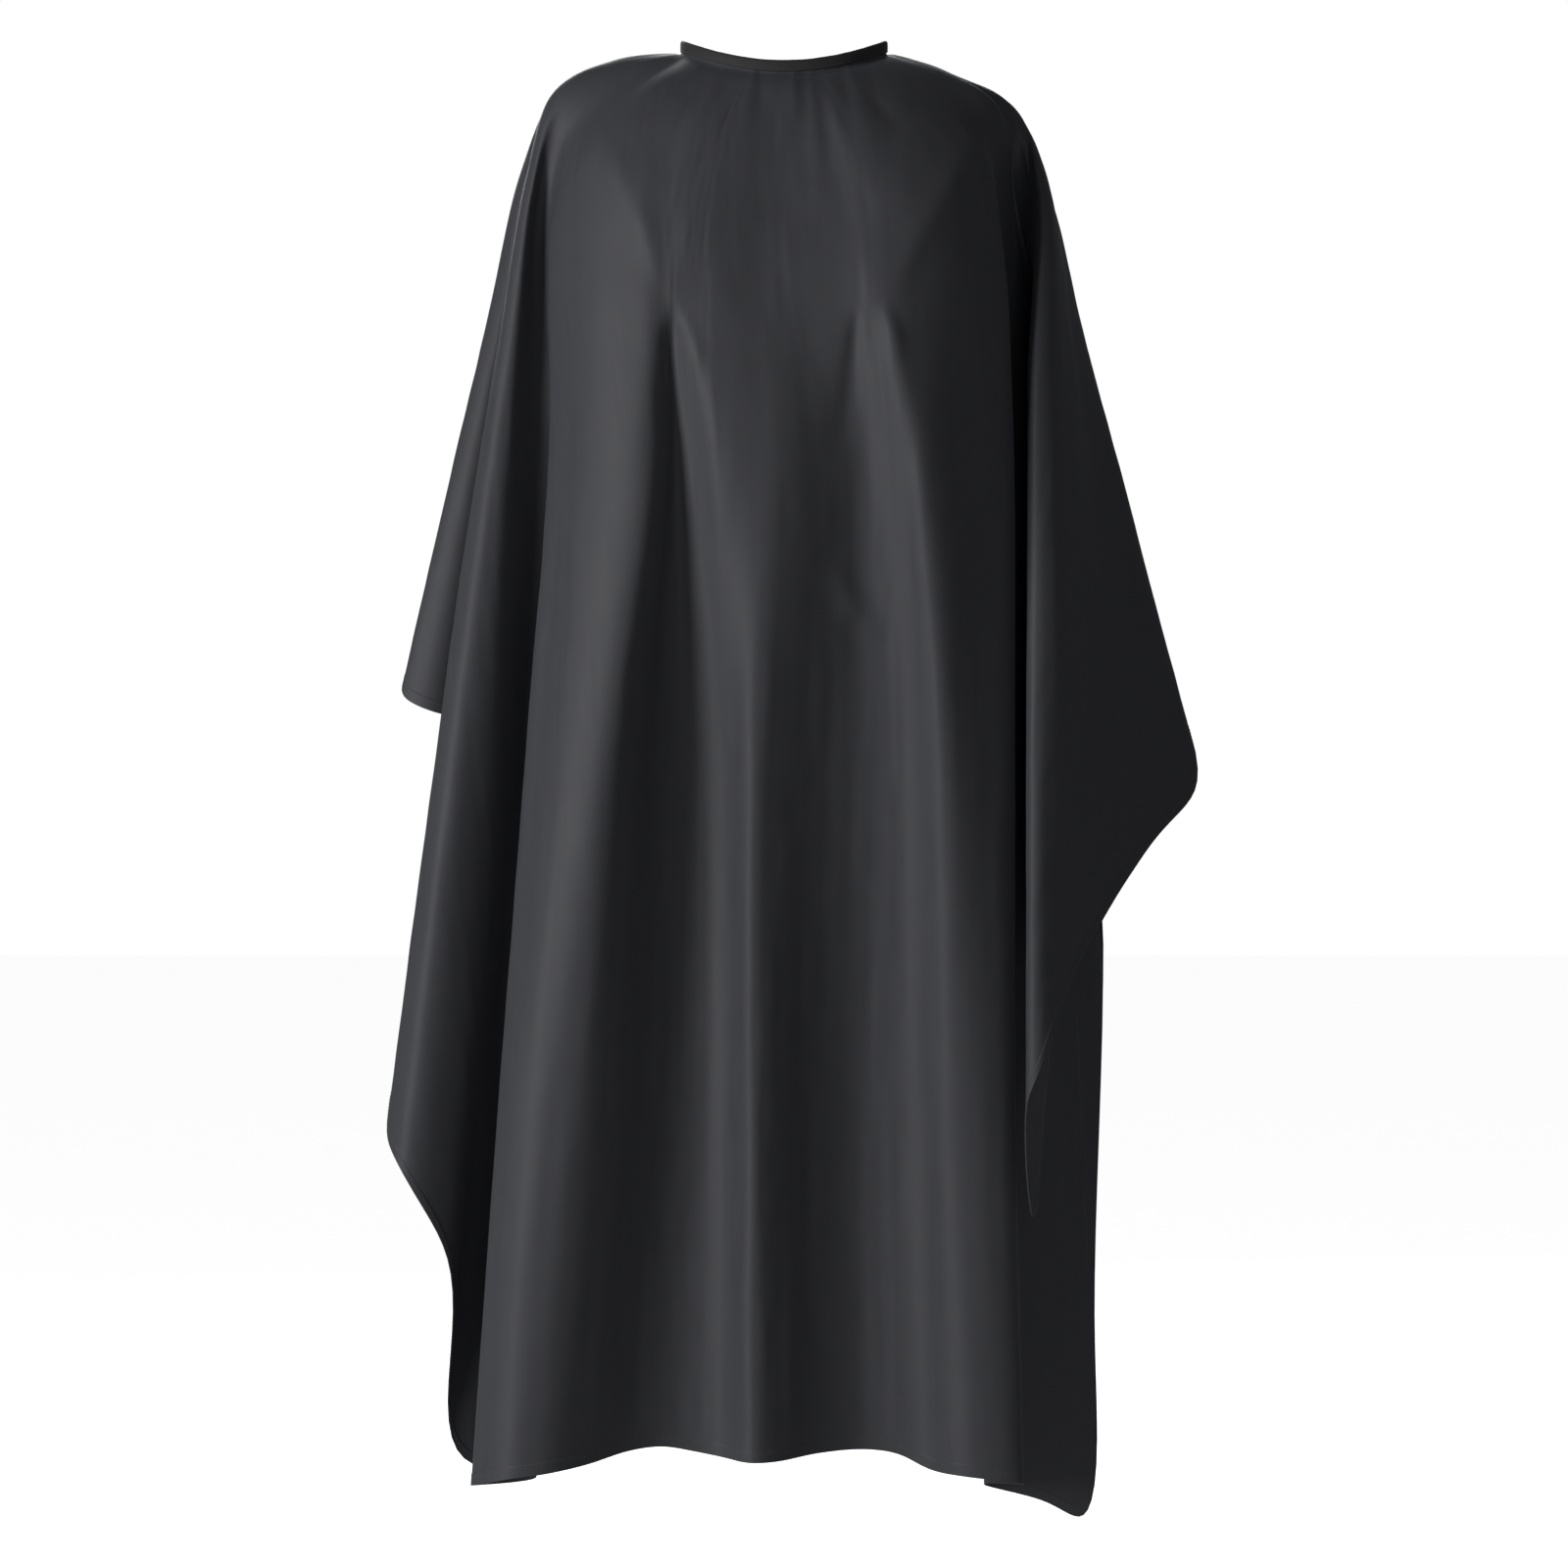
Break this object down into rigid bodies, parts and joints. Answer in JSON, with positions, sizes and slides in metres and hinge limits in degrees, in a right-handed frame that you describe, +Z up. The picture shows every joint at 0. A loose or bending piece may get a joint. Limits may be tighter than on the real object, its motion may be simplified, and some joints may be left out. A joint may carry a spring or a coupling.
{
  "type": "barber cape",
  "caption": "Dark haircutting cape: a large sheet of smooth cloth with a bound neck opening that closes at the nape with snaps, hanging in folds.",
  "frame": {"origin": "middle of the neck opening, level with the binding at the shoulders", "axes": "+Z up, out of the neck opening; the front of the cape faces -Y; +X is on the wearer's left"},
  "size_m": [0.7236, 0.2889, 1.3061],
  "materials": {
    "cloth": "satin",
    "binding": "matte",
    "tape": "matte",
    "interlining": "matte",
    "snap_metal": "satin"
  },
  "bodies": {
    "cape": {"cape_sheet": "cloth", "neck_binding": "binding", "stud_strip": "tape", "stud_strip_interlining": "interlining", "stud_1": "snap_metal", "stud_2": "snap_metal", "stud_3": "snap_metal", "stud_4": "snap_metal", "stud_5": "snap_metal", "stud_post_1": "snap_metal", "stud_post_2": "snap_metal", "stud_post_3": "snap_metal", "stud_post_4": "snap_metal", "stud_post_5": "snap_metal"},
    "tab": {"closure_tab": "tape", "closure_tab_interlining": "interlining", "socket_1": "snap_metal", "socket_2": "snap_metal", "socket_cap_1": "snap_metal", "socket_cap_2": "snap_metal"}
  },
  "joints": [
    {"name": "closure_tab_peel", "type": "hinge", "parent": "cape", "child": "tab", "pos_m": [0.0031, 0.0734, 0], "axis": [0, 0, -1], "range_deg": [0, 100]}
  ]
}
